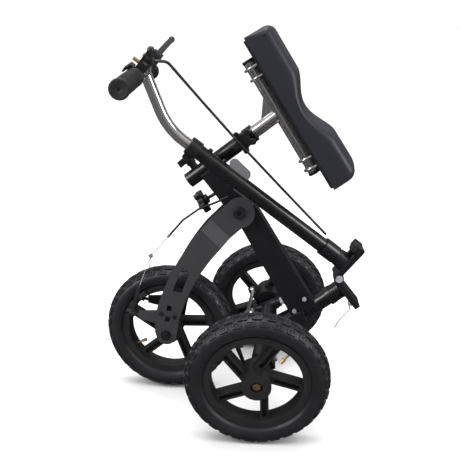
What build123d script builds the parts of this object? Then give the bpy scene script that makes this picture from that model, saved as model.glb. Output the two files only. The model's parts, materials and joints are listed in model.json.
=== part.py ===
from build123d import *
import os
from math import cos, radians, sin

os.makedirs("parts", exist_ok=True)

# Folding three-wheel knee scooter, folded and standing on its wheels.
# Design frame, in millimetres: the rear axle is the origin, +X points to the two steered
# wheels, +Y to the rider's left and +Z up.  Side outlines are drawn in the X-Z plane.

# ---------------------------------------------------------------- driving dimensions
WHEEL_R = 155.0          # 12 inch pneumatic tyre, outside radius
TYRE_W = 57.0
RIM_R = 113.0            # edge of the rim flange
RIM_HALF = 20.0
HUB_R = 31.0
RING_R = 98.0            # inside of the rim's flat flange
SPOKE_W = 18.0
HUB_HALF = 33.0
AXLE_R = 6.0

HEAD_X, HEAD_Z = 391.0, 112.0   # a point on the head axis, at the top of the headset
HEAD_ANGLE = 38.0        # head axis above the horizontal
FOLD_ANGLE = 104.4       # column from riding to folded
STEER_ANGLE = 8.0        # the steering is turned to lay the folded column beside the seat tube
STEM_TWIST = 4.7         # the bar's turn in its clamp
HINGE_T, HINGE_N = 33.0, 33.0   # column hinge pin, along and off the head axis
HINGE_R = 6.5
LATCH_T, LATCH_N = 46.6, -46.0  # latch pin
PITMAN = 60.0            # drive pin below the head tube, off the head axis
COLUMN_R = 17.0
STEM_R = 12.7
BEND_T = 545.0           # where the stem bends forward
BAR_T, BAR_N = 656.7, -69.1
BAR_HALF = 222.0
BAR_R = 11.1
BAR_SWEEP = 6.4
BAR_ROLL = 2.4           # the bar sits slightly out of square in its stem

KINGPIN_ANGLE = 26.0
KINGPIN_X, KINGPIN_Y, KINGPIN_Z = 227.0, 162.0, -0.5
KINGPIN_R = 7.0
SCRUB = 58.5             # kingpin to wheel centre
ARM_LENGTH = 60.0        # steering arm

PIVOT_X, PIVOT_Z = 168.0, 301.0   # rear fork pivot
PIVOT_R = 8.0
BEAM_HALF = 18.0         # half width of the main beam

SEAT_X, SEAT_Z = 47.0, 364.6      # lower end of the seat tube
SEAT_ANGLE = 38.0
SEAT_TUBE_R = 17.5
SEAT_TUBE_LEN = 187.0
POST_R = 14.3
RAIL_T = 256.0           # where the post meets the pad rail

PAD_X, PAD_Z = 175.3, 681.4       # upper end of the pad's flat underside
PAD_ANGLE = -57.1
PAD_LEN = 366.4
PAD_HALF = 87.0
RAIL_DROP = 24.7         # rail axis below the pad
RAIL_R = 13.0

CLAMP_T, PIN_T = 162.0, 30.0      # knobs along the seat tube
STUD_R = 4.0
LOCK_FACE = (84, 0, 321)          # fork lock knob

BRAKE_X, BRAKE_Z = -82.0, 50.0    # brake arm pivots
BRAKE_Y = 50.0
SHOE_X, SHOE_Z = -72.0, 78.0      # against the rim's braking track
GAP = 0.4                # between bodies
RUN = 0.08               # running clearance on a radius


# ---------------------------------------------------------------- axes and planes
def ray_plane(x, z, angle, along, across=0.0, side=0.0):
    """A plane square to a line in the X-Z plane, with local x along Y and local y across."""
    c = cos(radians(angle))
    s = sin(radians(angle))
    origin = (x + along * c - across * s, side, z + along * s + across * c)
    return Plane(origin=origin, x_dir=(0, 1, 0), z_dir=(c, 0, s))


def ray_side(x, z, angle, y=0.0):
    """The side plane with local x along the line and local y across it."""
    c = cos(radians(angle))
    s = sin(radians(angle))
    return Plane(origin=(x, y, z), x_dir=(c, 0, s), z_dir=(0, -1, 0))


def head_plane(t, n=0.0, y=0.0):
    return ray_plane(HEAD_X, HEAD_Z, HEAD_ANGLE, t, n, y)


def head_side(y=0.0):
    return ray_side(HEAD_X, HEAD_Z, HEAD_ANGLE, y)


def seat_plane(t, n=0.0, y=0.0):
    return ray_plane(SEAT_X, SEAT_Z, SEAT_ANGLE, t, n, y)


def pad_side(y=0.0):
    return ray_side(PAD_X, PAD_Z, PAD_ANGLE, y)


def pad_point(s, h, y=0.0):
    c = cos(radians(PAD_ANGLE))
    q = sin(radians(PAD_ANGLE))
    return Vector(PAD_X + s * c - h * q, y, PAD_Z + s * q + h * c)


def king_plane(side, along, across=0.0):
    return ray_plane(KINGPIN_X, KINGPIN_Z, KINGPIN_ANGLE, along, across, side * KINGPIN_Y)


def brake_stud(side, along):
    """Square to a brake arm's pivot, with local y up along the arm."""
    origin = Vector(BRAKE_X, side * BRAKE_Y, BRAKE_Z) + STUD_DIR * along
    return Plane(origin=origin, x_dir=(0, -1, 0), z_dir=STUD_DIR)


def side_plane(y=0.0):
    return Plane.XZ.offset(-y)


HEAD_DIR = Vector(cos(radians(HEAD_ANGLE)), 0, sin(radians(HEAD_ANGLE)))
STUD_DIR = Vector(-0.965, 0, 0.263)
SEAT_NORMAL = Vector(-sin(radians(SEAT_ANGLE)), 0, cos(radians(SEAT_ANGLE)))
LOCK_DIR = Vector(-cos(radians(33)), 0, -sin(radians(33)))
KING_DIR = Vector(cos(radians(KINGPIN_ANGLE)), 0, sin(radians(KINGPIN_ANGLE)))
HEAD_AXIS = Axis((HEAD_X, 0, HEAD_Z), HEAD_DIR)
HINGE_AXIS = Axis(head_plane(HINGE_T, HINGE_N).origin, (0, 1, 0))
hinge_xz = (HINGE_AXIS.position.X, HINGE_AXIS.position.Z)
latch_xz = (head_plane(LATCH_T, LATCH_N).origin.X, head_plane(LATCH_T, LATCH_N).origin.Z)
KING_AXIS = {side: Axis((KINGPIN_X, side * KINGPIN_Y, KINGPIN_Z), KING_DIR) for side in (-1, 1)}


# ---------------------------------------------------------------- small building blocks
def rod(plane, radius, length, bore=0.0):
    """Adds a round bar or tube to the part being built."""
    with BuildSketch(plane) as profile:
        Circle(radius)
        if bore:
            Circle(bore, mode=Mode.SUBTRACT)
    extrude(profile.sketch, amount=length)


def drill(plane, radius, length):
    with BuildSketch(plane) as profile:
        Circle(radius)
    extrude(profile.sketch, amount=length, mode=Mode.SUBTRACT)


def cross_rod(x, z, radius, y0, y1, bore=0.0):
    """A round bar along Y."""
    rod(Plane(origin=(x, y0, z), x_dir=(1, 0, 0), z_dir=(0, 1, 0)), radius, y1 - y0, bore)


def cross_drill(x, z, radius, y0, y1):
    drill(Plane(origin=(x, y0, z), x_dir=(1, 0, 0), z_dir=(0, 1, 0)), radius, y1 - y0)


def slab(plane, points, half, mode=Mode.ADD):
    """A plate drawn as a polygon on the plane and extruded to both sides of it."""
    with BuildSketch(plane) as profile:
        with BuildLine():
            Polyline(points, close=True)
        make_face()
    extrude(profile.sketch, amount=half, both=True, mode=mode)


def star_knob(plane, stud_length, neck=8, head=15):
    """A five-lobed hand knob: its head stands on the plane, its neck and stud behind it."""
    with BuildSketch(plane) as profile:
        Circle(17)
        with PolarLocations(14, 5):
            SlotOverall(28, 13)
    extrude(profile.sketch, amount=head)
    fillet(faces().filter_by(GeomType.PLANE).sort_by(Axis(plane.origin, plane.z_dir))[-1].edges(), 2)
    # ring round the centre cap
    with BuildSketch(plane.offset(head - 1)) as profile:
        Circle(9.5)
        Circle(8, mode=Mode.SUBTRACT)
    extrude(profile.sketch, amount=2, mode=Mode.SUBTRACT)
    rod(plane.offset(-neck), 11, neck)
    rod(plane.offset(-neck - stud_length), STUD_R, stud_length)


def cable(points, radius, bend):
    """A round cable swept along a polyline with arcs at its corners."""
    with BuildLine() as path:
        FilletPolyline(*points, radius=bend)
    with BuildSketch(Plane(origin=path.line @ 0, z_dir=path.line % 0)) as profile:
        Circle(radius)
    sweep(profile.sketch, path=path.line)


finished = []


def finish(build, label, moves=()):
    """Names a sub-part and remembers it with the turns that bring it to the folded pose."""
    build.part.label = label
    finished.append((build.part, label, moves))


STEERED = (("head", STEER_ANGLE),)
FOLDED = (("hinge", -FOLD_ANGLE), ("head", STEER_ANGLE))
TWISTED = (("head", STEM_TWIST), ("hinge", -FOLD_ANGLE), ("head", STEER_ANGLE))


# ================================================================ frame
beam_outline = [(152, 297), (178, 251), (300, 42), (346, 88), (335, 105), (200, 318)]
strut_outline = [(76, 380), (126, 318), (150, 284), (200, 300), (203, 313), (152, 350), (122, 420)]
with BuildPart() as main_frame:
    slab(side_plane(), beam_outline, BEAM_HALF)
    slab(side_plane(), strut_outline, 16)
    cross_rod(PIVOT_X, PIVOT_Z, 29, -BEAM_HALF, BEAM_HALF)
    # pivot bosses that carry the fork
    cross_rod(PIVOT_X, PIVOT_Z, 20, -24 + GAP, 24 - GAP)
    cross_drill(PIVOT_X, PIVOT_Z, PIVOT_R, -30, 30)
    # the box section is hollow between the pivot and the head tube
    hollow = [(196, 262), (300, 84), (334, 62), (306, 38), (188, 240)]
    slab(side_plane(), hollow, BEAM_HALF - 3, Mode.SUBTRACT)
    drill(head_plane(-160), 19, 160)
    drill(seat_plane(-60), SEAT_TUBE_R, 300)
    drill(Plane(origin=LOCK_FACE, z_dir=-LOCK_DIR), STUD_R + RUN, 42)
finish(main_frame, "main_frame")

with BuildPart() as head_tube:
    rod(head_plane(-135), 19, 117, 16.5)
finish(head_tube, "head_tube")

# two bearing cups, the upper one with its ribbed stack of spacers
with BuildPart() as headset:
    for start, length in ((-147, 12), (-18, 12)):
        rod(head_plane(start), 22.5, length, STEM_R + 0.1)
    rod(head_plane(-6), 19, 22, STEM_R + 0.1)
    for k in range(4):
        rod(head_plane(-4 + 5.5 * k), 21.5, 3, 18)
finish(headset, "headset_bearing_cups")

with BuildPart() as seat_tube:
    rod(seat_plane(0), SEAT_TUBE_R, SEAT_TUBE_LEN, POST_R + RUN)
    rod(seat_plane(SEAT_TUBE_LEN - 22), SEAT_TUBE_R + 2.5, 22, POST_R + RUN)
    # clamping slit on the far side
    with BuildSketch(seat_plane(SEAT_TUBE_LEN - 40, 0, SEAT_TUBE_R)):
        Rectangle(12, 3)
    extrude(amount=45, mode=Mode.SUBTRACT)
    # threaded bosses for the clamp knob, on the rider's right, and for the lower knob
    clamp_boss = Plane(origin=seat_plane(CLAMP_T, 0, -26).origin, x_dir=(1, 0, 0), z_dir=(0, 1, 0))
    pin_boss = Plane(origin=seat_plane(PIN_T, 26).origin, z_dir=-SEAT_NORMAL)
    for boss in (clamp_boss, pin_boss):
        rod(boss, 9, 10)
        drill(boss, STUD_R + RUN, 8)
    drill(seat_plane(-1), POST_R + RUN, SEAT_TUBE_LEN + 2)
finish(seat_tube, "seat_tube")

# side plates that carry the cross tube, and the cross tube with a sleeve for each kingpin
with BuildPart() as axle_beam:
    cross_rod(KINGPIN_X, KINGPIN_Z, 15, -KINGPIN_Y + 12, KINGPIN_Y - 12)
    for side in (-1, 1):
        slab(side_plane(side * 27), [(214, 14), (236, 20), (318, 72), (330, 50), (262, 2), (228, -14)], 4)
        # weld block that fills the step to the head tube
        slab(side_plane(side * 20.5), [(286, 46), (318, 72), (330, 50), (303, 29)], 2.5)
        rod(king_plane(side, -28), 15, 56)
        drill(king_plane(side, -29), KINGPIN_R, 58)
    drill(head_plane(-160), 19, 160)
finish(axle_beam, "front_axle_beam")

# kingpin bolts, and the cap screws on the beam's lower end
with BuildPart() as frame_bolts:
    for x, z in ((300, 66), (322, 98)):
        cross_rod(x, z, 5, -BEAM_HALF - 4, -BEAM_HALF)
        cross_rod(x, z, 5, BEAM_HALF, BEAM_HALF + 4)
    for side in (-1, 1):
        rod(king_plane(side, -37), KINGPIN_R, 74)
        for start in (-44, 37):
            with BuildSketch(king_plane(side, start)):
                RegularPolygon(11, 6)
            extrude(amount=7)
finish(frame_bolts, "frame_bolts")

with BuildPart() as pivot_bolt:
    cross_rod(PIVOT_X, PIVOT_Z, PIVOT_R, -32 - GAP, 32 + GAP)
    for y0, y1 in ((-39, -32 - GAP), (32 + GAP, 39)):
        cross_rod(PIVOT_X, PIVOT_Z, 14, y0, y1)
    fillet(edges().filter_by(GeomType.CIRCLE).group_by(Axis.Y)[-1], 1.5)
    fillet(edges().filter_by(GeomType.CIRCLE).group_by(Axis.Y)[0], 1.5)
    for y0 in (-39, 35):
        with BuildSketch(Plane(origin=(PIVOT_X, y0, PIVOT_Z), x_dir=(1, 0, 0), z_dir=(0, 1, 0))):
            RegularPolygon(6, 6)
        extrude(amount=4, mode=Mode.SUBTRACT)
finish(pivot_bolt, "fork_pivot_bolt")

# ================================================================ hand knobs
with BuildPart() as seat_clamp_knob:
    knob_face = Plane(origin=seat_plane(CLAMP_T, 0, -31.5).origin, x_dir=(1, 0, 0), z_dir=(0, -1, 0))
    star_knob(knob_face, 7, 5, 11)
finish(seat_clamp_knob, "seat_clamp_knob")

with BuildPart() as seat_pin_knob:
    star_knob(Plane(origin=seat_plane(PIN_T, 34.5).origin, z_dir=SEAT_NORMAL), 7)
finish(seat_pin_knob, "seat_pin_knob")

with BuildPart() as fork_lock_knob:
    star_knob(Plane(origin=LOCK_FACE, z_dir=LOCK_DIR), 30)
finish(fork_lock_knob, "fork_lock_knob")

# ================================================================ seat
with BuildPart() as seat_post:
    rod(seat_plane(36), POST_R, RAIL_T - 36 - 6, 12)
    with BuildSketch(ray_side(SEAT_X, SEAT_Z, SEAT_ANGLE)):
        with BuildLine():
            Polyline([(215, 12), (250, 12), (250, 52)], close=True)
        make_face()
    extrude(amount=2, both=True)
    drill(Plane(origin=pad_point(0, -RAIL_DROP), z_dir=pad_side().x_dir), RAIL_R, 340)
finish(seat_post, "seat_post")

with BuildPart() as pad_rail:
    rod(Plane(origin=pad_point(46, -RAIL_DROP), z_dir=pad_side().x_dir), RAIL_R, 275, RAIL_R - 2)
finish(pad_rail, "pad_rail")

with BuildPart() as rail_caps:
    for s in (39, 321):
        rod(Plane(origin=pad_point(s, -RAIL_DROP), z_dir=pad_side().x_dir), RAIL_R + 1, 7)
    fillet(edges().filter_by(GeomType.CIRCLE), 1.5)
finish(rail_caps, "rail_end_caps")

# four U-bolts around the rail, each a half ring with two legs up to the base board
with BuildPart() as pad_bolts:
    for s in (58, 82, 288, 312):
        ring = Plane(origin=pad_point(s, -RAIL_DROP), x_dir=(0, 1, 0), z_dir=pad_side().x_dir)
        with BuildLine(ring) as path:
            Line((-16.4, RAIL_DROP - 5), (-16.4, 0))
            ThreePointArc((-16.4, 0), (0, -16.4), (16.4, 0))
            Line((16.4, 0), (16.4, RAIL_DROP - 5))
        with BuildSketch(Plane(origin=path.line @ 0, z_dir=path.line % 0)):
            Circle(3)
        sweep(path=path.line)
finish(pad_bolts, "pad_u_bolts")

with BuildPart() as pad_board:
    with BuildSketch(pad_side()):
        with BuildLine():
            Polyline([(6, -5), (PAD_LEN - 6, -5), (PAD_LEN - 6, 0), (6, 0)], close=True)
        make_face()
    extrude(amount=PAD_HALF - 5, both=True)
finish(pad_board, "pad_base_board")

with BuildPart() as knee_pad:
    with BuildSketch(pad_side()):
        with BuildLine():
            Polyline((0, 0), (1, 42))
            ThreePointArc((1, 42), (6, 53), (17, 57))
            Line((17, 57), (117, 56))
            ThreePointArc((117, 56), (192, 27), (267, 55))
            Line((267, 55), (345, 59))
            ThreePointArc((345, 59), (360, 54), (366, 40))
            Polyline((366, 40), (PAD_LEN, 0), (0, 0))
        make_face()
    extrude(amount=PAD_HALF, both=True)
finish(knee_pad, "knee_pad")

# ================================================================ rear fork
PLATE_IN, PLATE_OUT = 46.0, 54.0
fork_strip = Plane(origin=(PIVOT_X, 0, PIVOT_Z), x_dir=(-0.681, 0, -0.732), z_dir=(0.732, 0, -0.681))
for side, label in ((-1, "fork_plate_r"), (1, "fork_plate_l")):
    with BuildPart() as fork_plate:
        with BuildSketch(side_plane(side * 39)):
            with BuildLine():
                ThreePointArc((152, 332), (203, 305), (176, 267))
                ThreePointArc((176, 267), (84, 160), (32, 40))
                Line((32, 40), (24, -6))
                ThreePointArc((24, -6), (0, -24), (-23, 4))
                Polyline((-23, 4), (-26, 30), (-66, 38), (-66, 56), (-22, 60))
                ThreePointArc((-22, 60), (46, 212), (152, 332))
            make_face()
        extrude(amount=16, both=True)
        # set outwards below the pivot: keep a bent strip of one thickness
        with BuildSketch(fork_strip):
            with BuildLine():
                Polyline([(-60, side * 24), (60, side * 24), (88, side * PLATE_IN), (500, side * PLATE_IN),
                          (500, side * PLATE_OUT), (85, side * PLATE_OUT), (57, side * 32), (-60, side * 32)],
                         close=True)
            make_face()
        extrude(amount=300, both=True, mode=Mode.INTERSECT)
        cross_drill(PIVOT_X, PIVOT_Z, PIVOT_R + RUN, -70, 70)
        cross_drill(0, 0, AXLE_R, -70, 70)
        drill(brake_stud(side, -17), 4, 30)
        # tapered window with two small openings below it
        with BuildSketch(side_plane(side * 50)) as window:
            with BuildLine():
                Polyline([(40, 172), (58, 161), (37, 107), (16, 110)], close=True)
            make_face()
            fillet(window.vertices(), 4)
            for x, z in ((9, 68), (4, 41)):
                with Locations(Location((x, z, 0), (0, 0, -10))):
                    RectangleRounded(12, 14, 2)
        extrude(amount=10, both=True, mode=Mode.SUBTRACT)
    finish(fork_plate, label)

with BuildPart() as rear_axle:
    cross_rod(0, 0, AXLE_R, -66, 66)
    for side in (-1, 1):
        y0, y1 = sorted((side * PLATE_OUT, side * (PLATE_OUT + 2)))
        cross_rod(0, 0, 12, y0, y1)
        with BuildSketch(Plane(origin=(0, side * 56, 0), x_dir=(1, 0, 0), z_dir=(0, side, 0))):
            RegularPolygon(10, 6)
        extrude(amount=8)
        y0, y1 = sorted((side * (HUB_HALF + GAP), side * PLATE_IN))
        cross_rod(0, 0, 9, y0, y1)
finish(rear_axle, "rear_axle")

# ================================================================ rear brake
with BuildPart() as fork_fasteners:
    for side in (-1, 1):
        y0, y1 = sorted((side * PLATE_OUT, side * (PLATE_OUT + 4)))
        for x, z in ((-11, 54), (22, 48)):
            cross_rod(x, z, 4.5, y0, y1)
        rod(brake_stud(side, -17), 4, 30)
        rod(brake_stud(side, 10), 6, 3)
finish(fork_fasteners, "fork_screws_and_brake_studs")

for side, label in ((-1, "r"), (1, "l")):
    with BuildPart() as brake_arm:
        rod(brake_stud(side, -7), 8, 14)
        with BuildSketch(brake_stud(side, -4)):
            with BuildLine():
                Polyline([(-6, 0), (6, 0), (5, 40), (4, 70), (-4, 70), (-5, 40)], close=True)
            make_face()
        extrude(amount=8)
        drill(brake_stud(side, -10), 4 + RUN, 30)
        # post for the brake shoe
        rod(Plane(origin=(SHOE_X, side * 31, SHOE_Z), z_dir=(0, side, 0)), 3.5, 14)
    finish(brake_arm, "brake_arm_" + label)
    with BuildPart() as brake_shoe:
        shoe = Plane(origin=(SHOE_X, side * 23, SHOE_Z), x_dir=(SHOE_X, 0, SHOE_Z), z_dir=(0, side, 0))
        with BuildSketch(shoe):
            RectangleRounded(10, 50, 3)
        extrude(amount=8)
    finish(brake_shoe, "brake_shoe_" + label)

# housing, ferrule, bare wire, yoke and straddle wire
housing_route = [(140, -26, 336), (118, -36, 326), (76, -38, 308), (40, -38, 281), (10, -34, 245)]
with BuildPart() as rear_cable:
    cable(housing_route, 2.5, 18)
finish(rear_cable, "rear_brake_housing")

YOKE = Vector(-46, 0, 178)
with BuildPart() as brake_wire:
    wire_start = Vector(*housing_route[-1])
    for start, end, radius in ((wire_start + (YOKE - wire_start).normalized() * 0.5, YOKE, 1.0),
                               (YOKE, Vector(-63, -44.5, 119), 0.8), (YOKE, Vector(-63, 44.5, 119), 0.8)):
        rod(Plane(origin=start, z_dir=end - start), radius, (end - start).length)
    rod(Plane(origin=YOKE + Vector(3, 0, -4), z_dir=(-6, 0, 8)), 5, 9)
    wire_dir = (YOKE - wire_start).normalized()
    rod(Plane(origin=wire_start + wire_dir * 0.5, z_dir=wire_dir), 3.2, 12)
finish(brake_wire, "brake_wire_and_yoke")

# ================================================================ wheels
def spoke_disc(phase):
    """Hub, five offset ribbed spokes and the deep rim, revolved about Y."""
    with BuildSketch(Plane.XY) as profile:
        with BuildLine():
            Polyline([(RING_R, -RIM_HALF), (RIM_R, -RIM_HALF), (RIM_R, -17), (106, -16), (104, -8), (101, 0),
                      (104, 8), (106, 16), (RIM_R, 17), (RIM_R, RIM_HALF), (RING_R, RIM_HALF),
                       (96, 6), (96, -6)],
                     close=True)
        make_face()
    revolve(profile.sketch, axis=Axis.Y)
    for start, length, width, half, mode in ((56, 86, SPOKE_W, 13, Mode.ADD),
                                             (61, 56, SPOKE_W - 8, 20, Mode.SUBTRACT),
                                             (61, 60, SPOKE_W - 7, 4, Mode.ADD)):
        with BuildSketch(Plane.XZ) as profile:
            for k in range(5):
                with Locations(Location((0, 0, 0), (0, 0, 72 * k + phase))):
                    with Locations((start, 15)):
                        Rectangle(length, width)
        extrude(profile.sketch, amount=half, both=True, mode=mode)
    with BuildSketch(Plane.XZ) as profile:
        Circle(HUB_R)
    extrude(profile.sketch, amount=HUB_HALF, both=True)


def wheel(name, moves, bearings, outer, valve_angle, phase):
    """The sub-parts of one wheel about its own centre; outer is the side the valve leans to."""
    spoke = Vector(cos(radians(valve_angle)), 0, sin(radians(valve_angle)))
    valve_plane = Plane(origin=spoke * 104, z_dir=spoke * -1 + Vector(0, outer * 0.3, 0))
    with BuildPart() as rim:
        spoke_disc(phase)
        cross_drill(0, 0, 13, -HUB_HALF - 1, HUB_HALF + 1)
        # keep the spokes' ends from standing in the tyre bed
        with BuildSketch(Plane.XY):
            with BuildLine():
                Polyline([(125, -30), (RIM_R, -17), (106, -16), (104, -8), (101, 0), (104, 8), (106, 16),
                          (RIM_R, 17), (125, 30)], close=True)
            make_face()
        revolve(axis=Axis.Y, mode=Mode.SUBTRACT)
        drill(valve_plane.offset(-3), 2.6, 20)
    finish(rim, name + "_rim", moves)
    with BuildPart() as tyre:
        with BuildSketch(Plane.XY):
            with BuildLine():
                ThreePointArc((RIM_R, -17), (130, -TYRE_W / 2), (147, -24))
                ThreePointArc((147, -24), (WHEEL_R, 0), (147, 24))
                ThreePointArc((147, 24), (130, TYRE_W / 2), (RIM_R, 17))
                Polyline((RIM_R, 17), (106, 16), (105, 12), (112, 10))
                ThreePointArc((112, 10), (130, 23), (145, 14))
                ThreePointArc((145, 14), (148, 0), (145, -14))
                ThreePointArc((145, -14), (130, -23), (112, -10))
                Polyline((112, -10), (105, -12), (106, -16), (RIM_R, -17))
            make_face()
        revolve(axis=Axis.Y)
    finish(tyre, name + "_tyre", moves)
    with BuildPart() as races:
        for y in bearings:
            cross_rod(0, 0, 13, y - 5, y + 5, AXLE_R + RUN)
    finish(races, name + "_bearings", moves)
    with BuildPart() as valve:
        rod(valve_plane, 2.6, 26)
        rod(valve_plane.offset(26), 4, 11)
    finish(valve, name + "_valve", moves)


wheel("rear_wheel", (), (-HUB_HALF + 5, HUB_HALF - 5), -1, 211, 3.5)
for side, name in ((-1, "front_wheel_r"), (1, "front_wheel_l")):
    centre = (KINGPIN_X, side * (KINGPIN_Y + SCRUB), KINGPIN_Z)
    wheel(name, (("shift", centre), ("king", side, STEER_ANGLE)), (side * -28, side * 16), side, 45, -16)

# ================================================================ front wheel knuckles
for side, label in ((-1, "r"), (1, "l")):
    moves = (("king", side, STEER_ANGLE),)
    with BuildPart() as knuckle:
        for start in (-36.6, 28.4):
            with BuildSketch(king_plane(side, start)):
                Circle(13)
                with Locations((side * 12, 0)):
                    Rectangle(24, 26)
            extrude(amount=8.2)
        with BuildSketch(king_plane(side, -36.6)):
            with Locations((side * 20.25, 0)):
                Rectangle(7.5, 28)
        extrude(amount=73.2)
        # steering arm, swept back and inwards, with the tie rod's pin
        with BuildSketch(king_plane(side, -25)):
            with BuildLine():
                Polyline([(side * 16.8, -12), (side * 24, -12), (side * 24, 20), (side * 8, ARM_LENGTH),
                          (side * -8, ARM_LENGTH), (side * 16.8, 12)], close=True)
            make_face()
            with Locations((0, ARM_LENGTH)):
                Circle(9)
        extrude(amount=6)
        rod(king_plane(side, -25, ARM_LENGTH), 4, 18)
        rod(king_plane(side, -10.2, ARM_LENGTH), 7, 4)
        for start in (-38, 28):
            drill(king_plane(side, start), KINGPIN_R + RUN, 10)
    finish(knuckle, "knuckle_" + label, moves)

    # shouldered bolt that the wheel turns on
    with BuildPart() as stub_axle:
        hub_plane = Plane(origin=(KINGPIN_X, side * (KINGPIN_Y + 24), KINGPIN_Z), z_dir=(0, side, 0))
        rod(hub_plane, AXLE_R, 64)
        rod(hub_plane, 9, 1.1)
        rod(hub_plane.offset(56), 9.5, 1.5)
        with BuildSketch(hub_plane.offset(57.5)):
            RegularPolygon(9.5, 6)
        extrude(amount=7)
    finish(stub_axle, "front_axle_bolt_" + label, moves)

arm_turn = Vector(0, -sin(radians(STEER_ANGLE)), 0)
king_across = Vector(-KING_DIR.Z, 0, KING_DIR.X)
tie_shift = (arm_turn + king_across * (cos(radians(STEER_ANGLE)) - 1)) * ARM_LENGTH
with BuildPart() as tie_rod:
    rail = king_plane(0, -13.8, ARM_LENGTH)
    cross_rod(rail.origin.X, rail.origin.Z, 5, -KINGPIN_Y + 8, KINGPIN_Y - 8)
    for side in (-1, 1):
        rod(king_plane(side, -18.6, ARM_LENGTH), 10, 8)
    # slotted bracket around the steering column's drive pin
    with BuildSketch(head_plane(-203.5)):
        with Locations((0, 66)):
            RectangleRounded(30, 30, 6)
    extrude(amount=6)
    with BuildSketch(head_plane(-210)):
        with Locations((0, PITMAN)):
            Circle(6)
    extrude(amount=20, mode=Mode.SUBTRACT)
    for side in (-1, 1):
        drill(king_plane(side, -20, ARM_LENGTH), 4 + RUN, 12)
finish(tie_rod, "tie_rod", (("shift", tie_shift),))

# ================================================================ steering column, lower half
with BuildPart() as steerer:
    rod(head_plane(-181), STEM_R, 199)
    with BuildSketch(head_plane(18)):
        Circle(24)
        with Locations((0, -28)):
            Rectangle(48, 54)
        with Locations((0, 15)):
            Rectangle(48, 30)
    extrude(amount=13)
    # the ears of the upper half turn in these notches
    for side in (-1, 1):
        with BuildSketch(head_side(side * 19.3)):
            with Locations((HINGE_T, HINGE_N)):
                Circle(11.6)
        extrude(amount=5.3, both=True, mode=Mode.SUBTRACT)
    with BuildSketch(head_side()):
        with Locations((HINGE_T, HINGE_N)):
            Circle(11)
        with BuildLine():
            Polyline([(18, 10), (31, 10), (31, 24), (27, 42), (18, 30)], close=True)
        make_face()
    extrude(amount=14, both=True)
    cross_drill(*hinge_xz, HINGE_R, -30, 30)
    # lever at the lower end, with the pin that drives the tie rod
    with BuildSketch(head_plane(-181)):
        with BuildLine():
            Polyline([(-8, 12), (8, 12), (7, PITMAN), (-7, PITMAN)], close=True)
        make_face()
        Circle(17)
        with Locations((0, PITMAN)):
            Circle(8)
    extrude(amount=6)
    rod(head_plane(-208, PITMAN), 4, 28)
finish(steerer, "steerer", STEERED)

with BuildPart() as hinge_pin:
    cross_rod(*hinge_xz, HINGE_R, -24.4, 24.4)
    for y0 in (-27, 24.4):
        cross_rod(*hinge_xz, HINGE_R + 2, y0, y0 + 2.6)
    # bolt on the hinge plate
    rod(head_plane(14, -38, 8), 5, 4)
finish(hinge_pin, "hinge_pin", STEERED)

# bent safety wire that hangs from a ring below the hinge plate
with BuildPart() as safety_wire:
    with BuildSketch(head_plane(12, -42, -8)):
        Circle(7)
        Circle(4.5, mode=Mode.SUBTRACT)
    extrude(amount=6)
    cable([(423, -8, 89), (430, -8, 72), (408, -8, 46), (396, -8, 22)], 1.5, 8)
finish(safety_wire, "safety_wire", STEERED)

# ================================================================ steering column, upper half
with BuildPart() as column_foot:
    with BuildSketch(head_plane(31.5)):
        Circle(24)
        with Locations((0, -25)):
            Rectangle(48, 50)
        with Locations((0, 20)):
            Rectangle(48, 36)
    extrude(amount=13.5)
    with BuildSketch(head_plane(44)):
        Circle(23)
    with BuildSketch(head_plane(70.5)):
        Circle(19)
    loft()
    # two ears around the pin, with room between them for the lower ear
    for side in (-1, 1):
        with BuildSketch(head_side(side * 19.25)):
            with Locations((HINGE_T, HINGE_N)):
                Circle(11)
        extrude(amount=4.75, both=True)
    with BuildSketch(head_side()):
        with Locations((HINGE_T, HINGE_N)):
            Circle(11.6)
        with Locations((HINGE_T + 3, HINGE_N + 9)):
            Rectangle(26, 10)
    extrude(amount=14.4, both=True, mode=Mode.SUBTRACT)
    cross_drill(*hinge_xz, HINGE_R + RUN, -30, 30)
    drill(head_plane(30), COLUMN_R, 50)
    # lugs for the fold latch, with room for it between them
    slab(head_side(), [(33, -36), (54, -36), (54, -54), (33, -54)], 24)
    slab(head_side(), [(24, -20), (60, -20), (60, -60), (24, -60)], 13.5, Mode.SUBTRACT)
    cross_drill(*latch_xz, 4, -30, 30)
finish(column_foot, "column_foot", FOLDED)

with BuildPart() as column_tube:
    rod(head_plane(32), COLUMN_R, 430, STEM_R + RUN)
finish(column_tube, "column_tube", FOLDED)

with BuildPart() as collars:
    rod(head_plane(71), 21, 37, COLUMN_R)
    rod(head_plane(462), 20.5, 26, STEM_R + RUN)
    with BuildSketch(head_plane(466, 24)):
        Rectangle(16, 12)
    extrude(amount=18)
    slab(head_side(), [(460, 13), (490, 13), (490, 40), (460, 40)], 1, Mode.SUBTRACT)
    drill(head_plane(460), COLUMN_R, 2)
    drill(head_plane(461), STEM_R + RUN, 30)
finish(collars, "column_collars", FOLDED)

with BuildPart() as column_screws:
    for t in (443, 405):
        with BuildSketch(Plane(origin=head_plane(t, -COLUMN_R).origin, z_dir=head_side().y_dir * -1)):
            Circle(5)
        extrude(amount=5)
    for y0 in (-14, 8):
        rod(Plane(origin=head_plane(475, 25, y0).origin, x_dir=(1, 0, 0), z_dir=(0, 1, 0)), 4, 6)
    cross_rod(*latch_xz, 4, -26, 26)
    for y0 in (-28, 24):
        cross_rod(*latch_xz, 6.5, y0, y0 + 4)
finish(column_screws, "column_screws_and_latch_pin", FOLDED)

with BuildPart() as tube_lug:
    with BuildSketch(head_side()):
        with Locations(Location((367, -25, 0), (0, 0, -6))):
            SlotOverall(56, 22)
    extrude(amount=5, both=True)
    drill(head_plane(300), COLUMN_R, 120)
finish(tube_lug, "column_lug", FOLDED)

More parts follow.
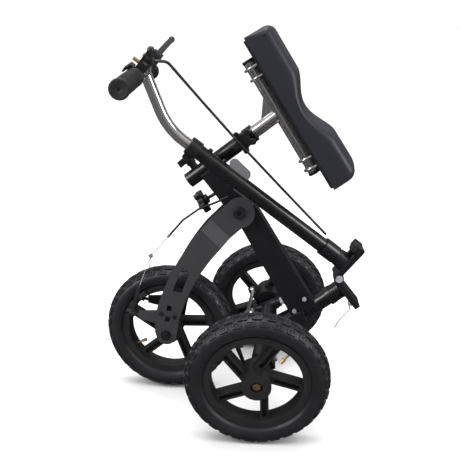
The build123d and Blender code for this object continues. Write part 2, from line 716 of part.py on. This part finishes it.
with BuildPart() as latch:
    with BuildSketch(head_side()):
        with Locations((42, -41)):
            RectangleRounded(27, 24, 6)
    extrude(amount=13, both=True)
    cross_drill(*latch_xz, 4 + RUN, -20, 20)
finish(latch, "fold_latch", FOLDED)

# ================================================================ handlebar
bar_foot = head_plane(BAR_T, BAR_N).origin
bar_dir = {side: Vector(0, side, 0) + head_side().y_dir * sin(radians(BAR_SWEEP))
           - HEAD_DIR * side * sin(radians(BAR_ROLL)) for side in (-1, 1)}
bar_plane = {side: Plane(origin=bar_foot, z_dir=bar_dir[side]) for side in (-1, 1)}
with BuildPart() as handlebar:
    with BuildLine(head_side()) as path:
        FilletPolyline((300, 0), (BEND_T, 0), (BAR_T, BAR_N), radius=150)
    with BuildSketch(head_plane(300)):
        Circle(STEM_R)
    sweep(path=path.line)
    for side in (-1, 1):
        rod(bar_plane[side], BAR_R, BAR_HALF - 3)
    with BuildSketch(Plane(origin=bar_foot + Vector(0, -14, 0), z_dir=(0, 1, 0))):
        Circle(15)
    extrude(amount=28)
finish(handlebar, "handlebar", TWISTED)

for side, label in ((-1, "grip_r"), (1, "grip_l")):
    with BuildPart() as grip:
        rod(bar_plane[side].offset(100), 16, BAR_HALF - 105, BAR_R)
        for start, radius, length in ((96, 19, 5), (BAR_HALF - 5, 20, 5)):
            rod(bar_plane[side].offset(start), radius, length, BAR_R)
        rod(bar_plane[side].offset(BAR_HALF - 3), BAR_R, 3)
    finish(grip, label, TWISTED)

# brake levers hang on brackets clamped to the bar beside the grips
lever_plane = {side: Plane(origin=bar_plane[side].offset(73).origin + head_side().y_dir * -40,
                           x_dir=bar_plane[side].z_dir,
                           z_dir=bar_dir[side].cross(head_side().y_dir)) for side in (-1, 1)}
with BuildPart() as brackets:
    for side in (-1, 1):
        rod(bar_plane[side].offset(62), 16, 22)
        with BuildSketch(lever_plane[side]):
            Circle(9)
            with BuildLine():
                Polyline([(-9, 0), (9, 0), (11, 38), (-11, 38)], close=True)
            make_face()
        extrude(amount=11, both=True)
        # slot for the lever, its pin and the seat of the adjuster
        slab(lever_plane[side], [(-12, -14), (20, -14), (20, 11), (-12, 11)], 5.9, Mode.SUBTRACT)
        rod(lever_plane[side].offset(-11), 3, 22)
        if side < 0:
            # parking tab beside the grip
            tab = Plane(origin=bar_plane[side].offset(62).origin, x_dir=HEAD_DIR, z_dir=bar_dir[side])
            for start, length, low in ((0, 26, 13), (22, 38, 20.5)):
                with BuildSketch(tab.offset(start)):
                    with Locations(((low + 24) / 2, -8)):
                        Rectangle(24 - low, 12)
                extrude(amount=length)
        drill(bar_plane[side].offset(60), BAR_R + 0.05, 30)
finish(brackets, "lever_brackets", TWISTED)

with BuildPart() as adjusters:
    for side in (-1, 1):
        seat = lever_plane[side].from_local_coords((-10.3, 16, 0))
        rod(Plane(origin=seat, z_dir=bar_plane[side].z_dir * -1), 3, 18)
        rod(Plane(origin=seat, z_dir=bar_plane[side].z_dir * -1).offset(3), 5, 7)
        # parking pin on the bracket's outer face
        pin = lever_plane[side].offset(side * 11.1)
        rod(Plane(origin=pin.from_local_coords((0, 16, 0)), z_dir=pin.z_dir * side), 4, 14)
finish(adjusters, "cable_adjusters_and_pins", TWISTED)

for side, label, reach in ((-1, "brake_lever_r", 36), (1, "brake_lever_l", 48)):
    with BuildPart() as lever:
        with BuildSketch(lever_plane[side]):
            Circle(8.5)
            with BuildLine():
                Polyline([(-4, 7), (-4, -8), (36, -2 - 0.62 * reach), (74, -3 - reach), (79, 5 - reach),
                          (42, 6 - 0.55 * reach), (12, 6)], close=True)
            make_face()
        extrude(amount=5.5, both=True)
        with Locations(lever_plane[side].from_local_coords((79, -reach, 0))):
            Sphere(7)
        drill(lever_plane[side].offset(-10), 3 + RUN, 20)
    finish(lever, label, TWISTED)

# the two brake cables run down in front of the stem to the hinge
with BuildPart() as brake_cables:
    for side in (-1, 1):
        start = lever_plane[side].from_local_coords((-28.6, 16, 0))
        cable([start, lever_plane[side].from_local_coords((-48, 14, 0)),
               head_plane(628, -112, side * 6).origin,
               head_plane(527, -92, side * 3.3).origin, head_plane(416, -71, side * 3.3).origin,
               head_plane(273, -48, side * 3.3).origin, head_plane(121, -25, side * 3.3).origin], 2.5, 18)
finish(brake_cables, "brake_cables", TWISTED)

# ================================================================ folded pose and export
LEAN = -1.904            # the folded scooter rests slightly to one side
axes = {"head": HEAD_AXIS, "hinge": HINGE_AXIS}


def moved(part, moves):
    for move in moves:
        if move[0] == "shift":
            part = part.moved(Location(tuple(move[1])))
        elif move[0] == "king":
            part = part.rotate(KING_AXIS[move[1]], move[2])
        else:
            part = part.rotate(axes[move[0]], move[1])
    return part.rotate(Axis.X, LEAN)


placed = [(moved(part, moves), label) for part, label, moves in finished]
boxes = [part.bounding_box() for part, label in placed]
mid_x = (min(b.min.X for b in boxes) + max(b.max.X for b in boxes)) / 2
mid_y = (min(b.min.Y for b in boxes) + max(b.max.Y for b in boxes)) / 2
centre = Location((-mid_x, -mid_y, -min(b.min.Z for b in boxes)))
for part, label in placed:
    part = part.moved(centre)
    part.label = label
    export_step(part, "parts/" + label + ".step")
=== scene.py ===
import json
from math import cos, pi, radians, sin

import bmesh
import bpy
import numpy as np
from mathutils import Matrix, Vector


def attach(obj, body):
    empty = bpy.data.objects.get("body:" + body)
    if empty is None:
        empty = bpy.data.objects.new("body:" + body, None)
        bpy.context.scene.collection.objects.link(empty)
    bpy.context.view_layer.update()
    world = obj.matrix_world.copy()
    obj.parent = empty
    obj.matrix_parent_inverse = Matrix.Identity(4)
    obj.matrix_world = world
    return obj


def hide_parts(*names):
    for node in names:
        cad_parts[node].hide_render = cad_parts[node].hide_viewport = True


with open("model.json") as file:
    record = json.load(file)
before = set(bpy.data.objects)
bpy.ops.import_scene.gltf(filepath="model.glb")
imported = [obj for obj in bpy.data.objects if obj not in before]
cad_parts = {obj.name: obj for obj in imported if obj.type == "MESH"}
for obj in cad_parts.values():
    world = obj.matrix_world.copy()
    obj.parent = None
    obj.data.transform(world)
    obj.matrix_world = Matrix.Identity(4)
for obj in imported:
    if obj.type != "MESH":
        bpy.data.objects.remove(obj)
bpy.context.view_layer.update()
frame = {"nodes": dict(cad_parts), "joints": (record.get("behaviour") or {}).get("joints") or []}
joints = {joint["name"]: joint for joint in frame["joints"]}
MILLIMETRES = Matrix.Scale(0.001, 4)


# ---------------------------------------------------------------- frames
def axis_frame(origin, axis):
    """A frame in the row frame whose Y runs along the axis and whose X stays near +X."""
    y = Vector(axis).normalized()
    x = Vector((1, 0, 0))
    x = (x - y * x.dot(y)).normalized()
    z = x.cross(y)
    return Matrix.Translation(origin) @ Matrix((x, y, z)).transposed().to_4x4()


def joint_frame(name):
    return axis_frame(joints[name]["pos_m"], joints[name]["axis"])


def long_axis(node, towards):
    """Middle of a long CAD node and the direction of its length, on the side named."""
    points = np.array([v.co for v in frame["nodes"][node].data.vertices])
    middle = points.mean(axis=0)
    direction = np.linalg.svd(points - middle, full_matrices=False)[2][0]
    if direction @ np.array(towards) < 0:
        direction = -direction
    along = (points - middle) @ direction
    middle = middle + direction * (along.max() + along.min()) / 2
    return Vector(middle), Vector(direction), along.max() - along.min()


# The rear wheel's axle is the origin of the scooter's own design frame.
DESIGN = joint_frame("rear_wheel_spin")


# ---------------------------------------------------------------- materials
def wire(tree, a, b):
    tree.links.new(a, b)


def noise(tree, coords, scale, detail=3.0, rough=0.5):
    node = tree.nodes.new("ShaderNodeTexNoise")
    node.inputs["Scale"].default_value = scale
    node.inputs["Detail"].default_value = detail
    node.inputs["Roughness"].default_value = rough
    wire(tree, coords, node.inputs["Vector"])
    return node.outputs["Fac"]


def spread(tree, value, low, high):
    """Maps the middle of a noise to a range."""
    node = tree.nodes.new("ShaderNodeMapRange")
    node.inputs["From Min"].default_value = 0.3
    node.inputs["From Max"].default_value = 0.7
    node.inputs["To Min"].default_value = low
    node.inputs["To Max"].default_value = high
    wire(tree, value, node.inputs["Value"])
    return node.outputs["Result"]


def bump(tree, height, depth, strength=1.0, normal=None):
    node = tree.nodes.new("ShaderNodeBump")
    node.inputs["Strength"].default_value = strength
    node.inputs["Distance"].default_value = depth
    wire(tree, height, node.inputs["Height"])
    if normal is not None:
        wire(tree, normal, node.inputs["Normal"])
    return node.outputs["Normal"]


def material(name, colour, rough, metal=0.0, grain=(900, 0.00005), mottle=0.12, spec=0.5, coat=0.0,
             edge=0.0, sheen=0.0, cells=None, blotch=9.0):
    """A procedural finish: mottled colour and gloss, a fine grain and softened edges.

    rough is a range, grain is (cells per metre, depth in metres) and edge the radius in metres that
    softens the corners.  cells adds a pebbled skin, given like grain.
    """
    made = bpy.data.materials.new(name)
    made.use_nodes = True
    tree = made.node_tree
    shader = tree.nodes["Principled BSDF"]
    shader.inputs["Metallic"].default_value = metal
    shader.inputs["Specular IOR Level"].default_value = spec
    shader.inputs["Coat Weight"].default_value = coat
    shader.inputs["Coat Roughness"].default_value = 0.25
    shader.inputs["Sheen Weight"].default_value = sheen
    coords = tree.nodes.new("ShaderNodeTexCoord").outputs["Object"]

    ramp = tree.nodes.new("ShaderNodeValToRGB")
    ramp.color_ramp.elements[0].position = 0.3
    ramp.color_ramp.elements[1].position = 0.7
    ramp.color_ramp.elements[0].color = (*(c * (1 - mottle) for c in colour), 1)
    ramp.color_ramp.elements[1].color = (*(c * (1 + mottle) for c in colour), 1)
    wire(tree, noise(tree, coords, blotch, 5.0, 0.6), ramp.inputs["Fac"])
    wire(tree, ramp.outputs["Color"], shader.inputs["Base Color"])
    wire(tree, spread(tree, noise(tree, coords, blotch * 5, 6.0, 0.65), *rough), shader.inputs["Roughness"])

    normal = None
    if edge:
        soft = tree.nodes.new("ShaderNodeBevel")
        soft.samples = 4
        soft.inputs["Radius"].default_value = edge
        normal = soft.outputs["Normal"]
    if cells:
        voronoi = tree.nodes.new("ShaderNodeTexVoronoi")
        voronoi.feature = "SMOOTH_F1"
        voronoi.inputs["Scale"].default_value = cells[0]
        wire(tree, coords, voronoi.inputs["Vector"])
        normal = bump(tree, voronoi.outputs["Distance"], cells[1], 1.0, normal)
    normal = bump(tree, noise(tree, coords, grain[0], 2.0), grain[1], 1.0, normal)
    wire(tree, normal, shader.inputs["Normal"])
    return made


FINISHES = {
    "frame_black": material("frame_black", (0.0085, 0.0085, 0.0105), (0.26, 0.4), edge=0.0012, spec=0.5,
                            grain=(1100, 0.00006), coat=0.15),
    "headset_black": material("headset_black", (0.007, 0.007, 0.008), (0.2, 0.34), edge=0.0006, coat=0.3),
    "fork_grey": material("fork_grey", (0.034, 0.032, 0.035), (0.42, 0.56), edge=0.0009, mottle=0.06,
                          grain=(1500, 0.00007), spec=0.45),
    "lever_black": material("lever_black", (0.014, 0.014, 0.016), (0.24, 0.38), edge=0.0008, coat=0.2),
    "chrome": material("chrome", (0.79, 0.77, 0.755), (0.07, 0.12), metal=0.92, mottle=0.02,
                       grain=(40, 0.00002), edge=0.0004),
    "zinc": material("zinc", (0.5, 0.52, 0.58), (0.22, 0.36), metal=0.45, mottle=0.08, edge=0.0004,
                     grain=(600, 0.00003)),
    "bolt_black": material("bolt_black", (0.016, 0.016, 0.018), (0.24, 0.38), metal=0.3, mottle=0.2,
                           edge=0.0006, coat=0.2, blotch=60),
    "yellow_zinc": material("yellow_zinc", (0.2, 0.145, 0.06), (0.24, 0.45), metal=0.7, mottle=0.25,
                            edge=0.0005, blotch=60),
    "brass": material("brass", (0.62, 0.4, 0.19), (0.16, 0.3), metal=0.7, mottle=0.15, edge=0.0004,
                      blotch=50),
    "rim_black": material("rim_black", (0.0145, 0.0145, 0.016), (0.4, 0.55), edge=0.0009, spec=0.5,
                          grain=(1700, 0.00008), mottle=0.1),
    "tyre_black": material("tyre_black", (0.0125, 0.0125, 0.015), (0.34, 0.56), mottle=0.22, spec=0.5,
                           grain=(1300, 0.00014), blotch=14),
    "bearing_steel": material("bearing_steel", (0.4, 0.4, 0.42), (0.2, 0.3), metal=1.0, mottle=0.06),
    "grip_rubber": material("grip_rubber", (0.014, 0.014, 0.015), (0.42, 0.6), grain=(1500, 0.00012)),
    "cable_black": material("cable_black", (0.008, 0.008, 0.009), (0.22, 0.34), spec=0.5, coat=0.2),
    "wire_steel": material("wire_steel", (0.3, 0.3, 0.31), (0.22, 0.4), metal=0.5, grain=(900, 0.0001)),
    "knob_plastic": material("knob_plastic", (0.009, 0.009, 0.01), (0.32, 0.46), edge=0.0012,
                             cells=(1400, 0.00012)),
    "lug_grey": material("lug_grey", (0.13, 0.13, 0.14), (0.42, 0.6), edge=0.0014, mottle=0.2,
                         cells=(900, 0.0003)),
    "board_black": material("board_black", (0.01, 0.01, 0.01), (0.5, 0.65), grain=(500, 0.00015)),
    "shoe_rubber": material("shoe_rubber", (0.02, 0.02, 0.021), (0.6, 0.75), grain=(1200, 0.00012)),
    "pad_vinyl": material("pad_vinyl", (0.0175, 0.0175, 0.0255), (0.34, 0.44), mottle=0.05, spec=0.42,
                          grain=(2600, 0.00007), cells=(1100, 0.00012), blotch=5),
}

# These bolts are blacked, unlike the others of their slot.
BLACKED = ("column_screws_and_latch_pin",)

# Every other CAD node takes the finish of its own material slot.
for node_name, node in frame["nodes"].items():
    for held in node.material_slots:
        slot_name = "bolt_black" if node_name in BLACKED else held.material.name.split(".")[0]
        if slot_name in FINISHES:
            held.material = FINISHES[slot_name]


# ---------------------------------------------------------------- mesh helpers
def piece(name, vertices, faces, place, slot, body, replaced=()):
    """A closed mesh drawn in millimetres, put in place, finished and set to ride on its body."""
    mesh = bpy.data.meshes.new(name)
    mesh.from_pydata([place @ MILLIMETRES @ Vector(v) for v in vertices], [], faces)
    work = bmesh.new()
    work.from_mesh(mesh)
    bmesh.ops.remove_doubles(work, verts=work.verts, dist=0.000005)
    bmesh.ops.recalc_face_normals(work, faces=work.faces)
    work.to_mesh(mesh)
    work.free()
    mesh.materials.append(FINISHES[slot])
    obj = bpy.data.objects.new(name, mesh)
    bpy.context.scene.collection.objects.link(obj)
    mesh.shade_smooth()
    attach(obj, body)
    if replaced:
        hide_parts(*replaced)
    return obj


def sharpen(obj, degrees):
    """Keeps edges sharper than the angle crisp and the rest smooth."""
    work = bmesh.new()
    work.from_mesh(obj.data)
    for edge in work.edges:
        edge.smooth = len(edge.link_faces) < 2 or edge.calc_face_angle(0.0) < radians(degrees)
    work.to_mesh(obj.data)
    work.free()


def grid_faces(rows, columns, start=0, wrap_rows=False, wrap_columns=False):
    faces = []
    for i in range(rows if wrap_rows else rows - 1):
        for j in range(columns if wrap_columns else columns - 1):
            i2 = (i + 1) % rows
            j2 = (j + 1) % columns
            faces.append([start + i * columns + j, start + i * columns + j2,
                          start + i2 * columns + j2, start + i2 * columns + j])
    return faces


def revolve(profile, turns, closed=True):
    """Vertices and faces of a profile of (radius, y) turned about Y."""
    vertices = []
    for k in range(turns):
        angle = 2 * pi * k / turns
        vertices += [(r * cos(angle), y, r * sin(angle)) for r, y in profile]
    return vertices, grid_faces(turns, len(profile), 0, True, closed)


# ---------------------------------------------------------------- tyres
TYRE_R = 155.0
CROWN_R = 40.0        # radius of the tread's arc across the tyre, at the tops of the knobs
CROWN_MID = 115.0     # its centre, out from the axle
KNOB_H = 3.2
PITCHES = 32          # knobs round each row
SHOULDER_TILT = 34.5  # degrees across the tyre to the middle of the shoulder knobs
CENTRE_TILT = 11.2
SQUARENESS = 0.42     # power that squares off a knob's oval outline
SIDEWALL = [(139.5, 26.9), (135, 28.3), (130, 28.5), (125, 27.6), (120.5, 25.4), (119.6, 25.6), (118.6, 24.9),
            (116, 21.6), (113.4, 18.2), (110, 16.6), (106, 16)]


def tread_point(around, across, height, phase):
    """A point over the tread: mm round the tyre, degrees across it, and mm above its base."""
    tilt = radians(across)
    reach = CROWN_R - KNOB_H + height
    angle = phase + around / TYRE_R
    r = CROWN_MID + reach * cos(tilt)
    return (r * cos(angle), reach * sin(tilt), r * sin(angle))


def knob(vertices, faces, phase, tilt, half_round, half_tilt, skew, grooved):
    """One tread block: a rounded block with chamfered top and, if grooved, a sunken oval ring."""
    count = 20
    levels = [(1.1, -1.2), (1.0, 0.78 * KNOB_H), (0.92, KNOB_H)]
    if grooved:
        levels += [(0.64, KNOB_H), (0.56, 0.45 * KNOB_H), (0.4, 0.45 * KNOB_H), (0.32, 0.92 * KNOB_H)]
    start = len(vertices)
    for scale, height in levels:
        for k in range(count):
            turn = 2 * pi * k / count
            c = cos(turn)
            s = sin(turn)
            u = (abs(c) ** SQUARENESS) * (1 if c >= 0 else -1) * half_round * scale
            v = (abs(s) ** SQUARENESS) * (1 if s >= 0 else -1) * half_tilt * scale
            vertices.append(tread_point(u + skew * v, tilt + v, height, phase))
    faces += grid_faces(len(levels), count, start, False, True)
    faces.append(list(range(start, start + count)))
    faces.append(list(range(start + count * (len(levels) - 1), start + count * len(levels))))


def tyre(name):
    """A tyre with two shoulder rows of ringed knobs and two centre rows, in place of the CAD tyre."""
    base = [(CROWN_MID + (CROWN_R - KNOB_H) * cos(radians(a)), (CROWN_R - KNOB_H) * sin(radians(a)))
            for a in range(-42, 43, 6)]
    lower = [(r, -y) for r, y in reversed(SIDEWALL)]
    inner = [(112, 10), (130, 22), (143, 14), (146, 0), (143, -14), (130, -22), (112, -10)]
    vertices, faces = revolve(lower + base + SIDEWALL + inner, 144)
    half = pi / PITCHES
    for k in range(PITCHES):
        phase = 2 * pi * k / PITCHES
        knob(vertices, faces, phase, SHOULDER_TILT, 10.4, 9.0, 0.0, True)
        knob(vertices, faces, phase + half, -SHOULDER_TILT, 10.4, 9.0, 0.0, True)
        knob(vertices, faces, phase + half, CENTRE_TILT, 10.6, 8.4, 0.25, k % 2 == 0)
        knob(vertices, faces, phase, -CENTRE_TILT, 10.6, 8.4, -0.25, k % 2 == 1)
    made = piece(name + "_tread_tyre", vertices, faces, joint_frame(name + "_spin"), "tyre_black", name,
                 (name + "_tyre",))
    sharpen(made, 34)


for wheel_name in ("rear_wheel", "front_wheel_l", "front_wheel_r"):
    tyre(wheel_name)


# ---------------------------------------------------------------- knee pad
PAD_ORIGIN = Vector((175.3, 0, 681.4))   # upper end of the flat underside, in the design frame
PAD_ANGLE = -57.1
PAD_LENGTH = 366.4
PAD_HALF = 87.0
SHOULDER = 19.0                          # radius of the rounded shoulder
PAD_CROWN = 2.0
PAD_DEPTH = 57.0
DIP_DEPTH = 28.5
DIP_MID = 192.0                          # along the pad from its upper end
DIP_REACH = 82.0                         # from the middle of the dip to its edge
UPPER_CORNER = 15.0
LOWER_CORNER = 22.0
PAD_TOP_START = 17.0                     # where the top face begins and ends
PAD_TOP_END = 345.0


def pad_height(s):
    """Height of the pad's top above its underside, dipped in the middle for the shin."""
    dip = DIP_DEPTH * (0.5 + 0.5 * cos(pi * min(1.0, abs(s - DIP_MID) / DIP_REACH))) ** 0.8
    return PAD_DEPTH + 2.0 * max(0.0, (s - 250) / 100) - dip


def pad_outline(count=120):
    """Points round the pad's side view, up its upper end, over the top and back along the underside."""
    points = []
    for k in range(9):
        points.append((0.15 * k, 40.0 * k / 8))
    for k in range(1, 8):
        turn = radians(90 * k / 8)
        points.append((1.2 + UPPER_CORNER * (1 - cos(turn)),
                       pad_height(PAD_TOP_START) - UPPER_CORNER + UPPER_CORNER * sin(turn)))
    for k in range(count + 1):
        s = PAD_TOP_START + (PAD_LENGTH - PAD_TOP_START - LOWER_CORNER) * k / count
        points.append((s, pad_height(s)))
    for k in range(1, 9):
        turn = radians(90 * k / 9)
        points.append((PAD_LENGTH - LOWER_CORNER * (1 - sin(turn) * 0.985),
                       pad_height(PAD_TOP_END) - LOWER_CORNER * (1 - cos(turn))))
    for k in range(9):
        points.append((PAD_LENGTH - 0.1 * k, 34.0 * (1 - k / 8)))
    for k in range(1, 40):
        points.append((PAD_LENGTH * (1 - k / 40), 0.0))
    return points


def knee_pad():
    outline = [Vector(p) for p in pad_outline()]
    count = len(outline)
    inward = []
    for i, point in enumerate(outline):
        run = outline[(i + 1) % count] - outline[i - 1]
        inward.append(Vector((run.y, -run.x)).normalized())
    radius = []
    for point in outline:
        depth = min(1.0, pad_height(point.x) / PAD_DEPTH)
        lift = min(1.0, max(0.0, point.y / 38.0))
        radius.append(2.0 + (SHOULDER * depth - 2.0) * lift ** 1.5)
    for _ in range(6):
        radius = [(radius[i - 1] + 2 * radius[i] + radius[(i + 1) % count]) / 4 for i in range(count)]
    vertices = []
    rounds = 7
    across = 12
    ring_specs = [(-1, radians(90 * k / (rounds - 1)), 0.0) for k in range(rounds)]
    ring_specs += [(0, 0.0, (k + 1) / (across + 1)) for k in range(across)]
    ring_specs += [(1, radians(90 * k / (rounds - 1)), 0.0) for k in reversed(range(rounds))]
    for side, turn, share in ring_specs:
        for i, point in enumerate(outline):
            r = radius[i]
            if side:
                y = side * (PAD_HALF - r + r * cos(turn))
                inset = r * (1 - sin(turn))
                rise = 0.0
            else:
                y = (PAD_HALF - r) * (2 * share - 1)
                inset = 0.0
                rise = PAD_CROWN * (1 - (2 * share - 1) ** 2) * min(1.0, max(0.0, (point.y - 20) / 30))
            at = point + inward[i] * (inset - rise)
            vertices.append((at.x, y, at.y))
    faces = grid_faces(len(ring_specs), count, 0, False, True)
    faces.append(list(range(count)))
    faces.append(list(range((len(ring_specs) - 1) * count, len(ring_specs) * count)))
    tilt = Matrix.Translation(PAD_ORIGIN * 0.001) @ Matrix.Rotation(radians(-PAD_ANGLE), 4, "Y")
    pad = piece("knee_pad_cushion", vertices, faces, DESIGN @ tilt, "pad_vinyl", "seat", ("knee_pad",))
    pad.modifiers.new("even_normals", "WEIGHTED_NORMAL").keep_sharp = True


knee_pad()


# ---------------------------------------------------------------- grips
RIB_PITCH = 3.4
GRIP_R = 17.2


def grip(side, towards):
    """Ribbed rubber grip with a flange at its inner end and a rounded end cap with a small hole."""
    middle, direction, length = long_axis("grip_" + side, towards)
    span = length * 1000
    profile = [(11.3, 0), (18.2, 0), (19.2, 0.9), (19.2, 4.2), (18.4, 5)]
    ribs = int((span - 16) / RIB_PITCH)
    for k in range(ribs):
        y = 6.5 + k * RIB_PITCH
        swell = 0.9 * sin(pi * k / ribs)
        profile += [(GRIP_R + swell, y), (GRIP_R + 0.9 + swell, y + 0.5), (GRIP_R + 0.9 + swell, y + 1.9),
                    (GRIP_R + swell, y + 2.4)]
    profile += [(GRIP_R, span - 8.5), (19.4, span - 7.6), (20, span - 6.6), (20, span - 2.2),
                (19.5, span - 0.8), (18.2, span - 0.1), (14.5, span), (13.8, span - 0.5),
                (13, span - 0.6), (3.1, span - 0.6), (2.6, span - 1.0), (2.6, span - 2.6),
                (0.01, span - 2.6)]
    vertices, faces = revolve(profile, 72, False)
    place = axis_frame(middle - direction * length / 2, direction)
    made = piece("ribbed_grip_" + side, vertices, faces, place, "grip_rubber", "stem", ("grip_" + side,))
    sharpen(made, 40)


grip("r", (0, -1, 0))
grip("l", (0, 1, 0))


# ---------------------------------------------------------------- studio
def area_light(name, place, target, size, power):
    lamp = bpy.data.lights.new(name, "AREA")
    lamp.shape = "RECTANGLE"
    lamp.size, lamp.size_y = size
    lamp.energy = power
    obj = bpy.data.objects.new(name, lamp)
    bpy.context.scene.collection.objects.link(obj)
    obj.location = place
    obj.rotation_euler = (Vector(target) - Vector(place)).to_track_quat("-Z", "Y").to_euler()


def studio():
    floor_mesh = bpy.data.meshes.new("floor")
    reach = 30.0
    corners = [(-reach, -reach, 0), (reach, -reach, 0), (reach, reach, 0), (-reach, reach, 0)]
    floor_mesh.from_pydata(corners, [], [[0, 1, 2, 3]])
    floor = bpy.data.objects.new("floor", floor_mesh)
    bpy.context.scene.collection.objects.link(floor)
    paper = material("floor_paper", (0.86, 0.86, 0.86), (0.6, 0.7), mottle=0.01, spec=0.2,
                     grain=(200, 0.0001))
    floor_mesh.materials.append(paper)
    # black parts and chrome don't mirror the paper
    floor.visible_glossy = False
    area_light("left_box", (-1.9, -1.3, 1.5), (0, 0, 0.45), (0.9, 1.7), 34)
    area_light("right_box", (2.1, -0.75, 1.15), (0, 0, 0.45), (0.7, 1.5), 26)
    area_light("overhead", (-0.2, 0.3, 2.5), (0, 0, 0.4), (1.3, 0.9), 24)
    sun = bpy.data.lights.new("floor_fill", "SUN")
    sun.energy = 2.9
    sun.angle = radians(70)
    lamp = bpy.data.objects.new("floor_fill", sun)
    lamp.visible_glossy = False
    bpy.context.scene.collection.objects.link(lamp)

    world = bpy.data.worlds.new("studio")
    bpy.context.scene.world = world
    world.use_nodes = True
    tree = world.node_tree
    background = tree.nodes["Background"]
    direction = tree.nodes.new("ShaderNodeTexCoord").outputs["Generated"]
    split = tree.nodes.new("ShaderNodeSeparateXYZ")
    wire(tree, direction, split.inputs["Vector"])
    # dark low down and light overhead
    tone = tree.nodes.new("ShaderNodeValToRGB")
    tone.color_ramp.elements[0].position = 0.42
    tone.color_ramp.elements[0].color = (0.03, 0.028, 0.028, 1)
    tone.color_ramp.elements[1].position = 0.85
    tone.color_ramp.elements[1].color = (0.5, 0.5, 0.51, 1)
    half = tree.nodes.new("ShaderNodeMath")
    half.operation = "MULTIPLY_ADD"
    half.inputs[1].default_value = 0.5
    half.inputs[2].default_value = 0.5
    wire(tree, split.outputs["Z"], half.inputs[0])
    wire(tree, half.outputs["Value"], tone.inputs["Fac"])
    seen = tree.nodes.new("ShaderNodeMix")
    seen.data_type = "RGBA"
    seen.inputs["B"].default_value = (1, 1, 1, 1)
    wire(tree, tree.nodes.new("ShaderNodeLightPath").outputs["Is Camera Ray"], seen.inputs["Factor"])
    wire(tree, tone.outputs["Color"], seen.inputs["A"])
    wire(tree, seen.outputs["Result"], background.inputs["Color"])


studio()
bpy.context.scene.view_settings.view_transform = "Standard"

# ---------------------------------------------------------------- camera
EYE = Vector((0.3214, -1.488, 0.7427))   # from the rear axle
YAW, PITCH, ROLL = radians(-6.79), radians(18.07), radians(0.59)
lens = bpy.data.cameras.new("camera")
lens.sensor_width = 36
lens.lens = 53.42
lens.clip_end = 100
camera = bpy.data.objects.new("camera", lens)
bpy.context.scene.collection.objects.link(camera)
ahead = Vector((sin(YAW) * cos(PITCH), cos(YAW) * cos(PITCH), -sin(PITCH)))
level = Vector((cos(YAW), -sin(YAW), 0))
above = level.cross(ahead)
right = level * cos(ROLL) + above * sin(ROLL)
up = above * cos(ROLL) - level * sin(ROLL)
camera.matrix_world = (Matrix.Translation(DESIGN.translation + EYE)
                       @ Matrix((right, up, -ahead)).transposed().to_4x4())
bpy.context.scene.camera = camera
